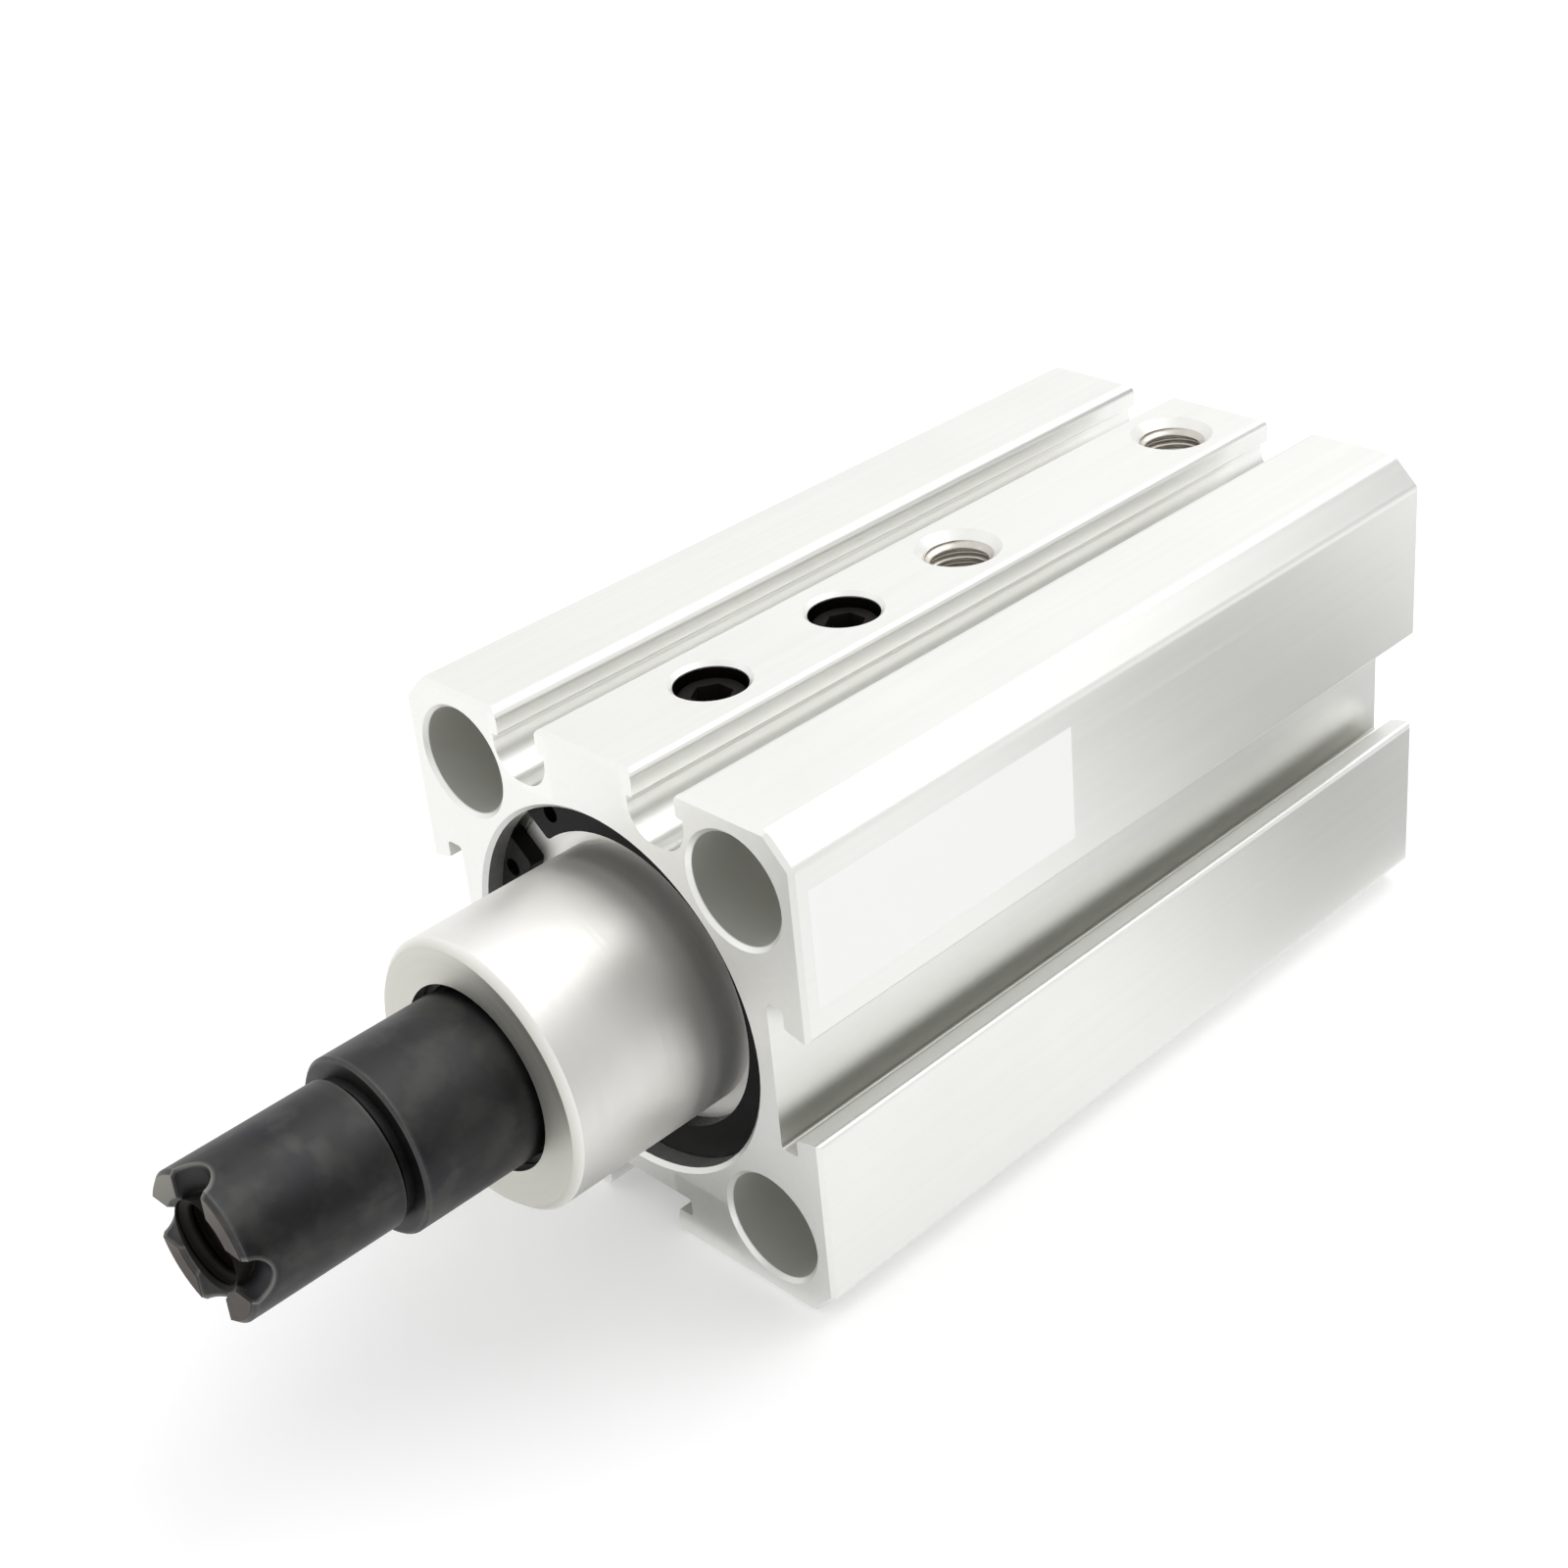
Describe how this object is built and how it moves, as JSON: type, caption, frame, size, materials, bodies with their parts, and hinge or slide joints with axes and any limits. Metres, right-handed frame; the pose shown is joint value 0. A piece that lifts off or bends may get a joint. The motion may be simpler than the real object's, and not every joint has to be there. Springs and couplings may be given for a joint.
{
  "type": "rotary clamp cylinder",
  "caption": "Square-bodied air cylinder with lipped sensor slots, a round front boss and a black notched rod that swings as it extends to carry a clamp arm.",
  "frame": {"origin": "on the rod axis at the tube's rod-side face, the centre of the front bolt pattern", "axes": "-Y runs out along the rod, +Z is the port side, +X the labelled side; the rod is drawn in"},
  "size_m": [0.036, 0.0965, 0.036],
  "materials": {
    "anodised_aluminium": "satin clear anodised extrusion",
    "turned_aluminium": "fine turned",
    "bearing_bronze": "sintered",
    "seal_rubber": "smooth moulded",
    "black_spring_steel": "black phosphated",
    "black_screw_steel": "black oxide",
    "ground_steel": "ground",
    "bumper_urethane": "moulded",
    "black_rod_steel": "black nitrided",
    "wear_ring_resin": "moulded",
    "bonded_magnet": "moulded"
  },
  "bodies": {
    "housing": {"cylinder_tube": "anodised_aluminium", "rod_cover": "turned_aluminium", "rod_bushing": "bearing_bronze", "rod_seal": "seal_rubber", "rod_cover_oring": "seal_rubber", "front_retaining_ring": "black_spring_steel", "cover_lock_screw": "black_screw_steel", "guide_pin": "ground_steel", "guide_pin_oring": "seal_rubber", "guide_pin_screw": "black_screw_steel", "rod_bumper": "bumper_urethane", "head_bumper": "bumper_urethane", "head_cover": "turned_aluminium", "head_cover_oring": "seal_rubber", "rear_retaining_ring": "black_spring_steel"},
    "piston_rings": {"piston_seal": "seal_rubber", "wear_ring": "wear_ring_resin"},
    "rod": {"piston_rod": "black_rod_steel", "piston": "turned_aluminium", "piston_oring": "seal_rubber", "magnet_ring": "bonded_magnet", "piston_screw": "black_screw_steel"}
  },
  "joints": [
    {"name": "rod_stroke", "type": "slide", "parent": "housing", "child": "piston_rings", "axis": [0, -1, 0], "range_m": [0, 0.0145]},
    {"name": "rod_swing", "type": "hinge", "parent": "piston_rings", "child": "rod", "pos_m": [0, 0.05, 0], "axis": [0, 1, 0], "range_deg": [0, 90]}
  ],
  "couplings": [
    {"joint": "rod_swing", "follows": "rod_stroke", "rad_per_m": 108.33}
  ]
}
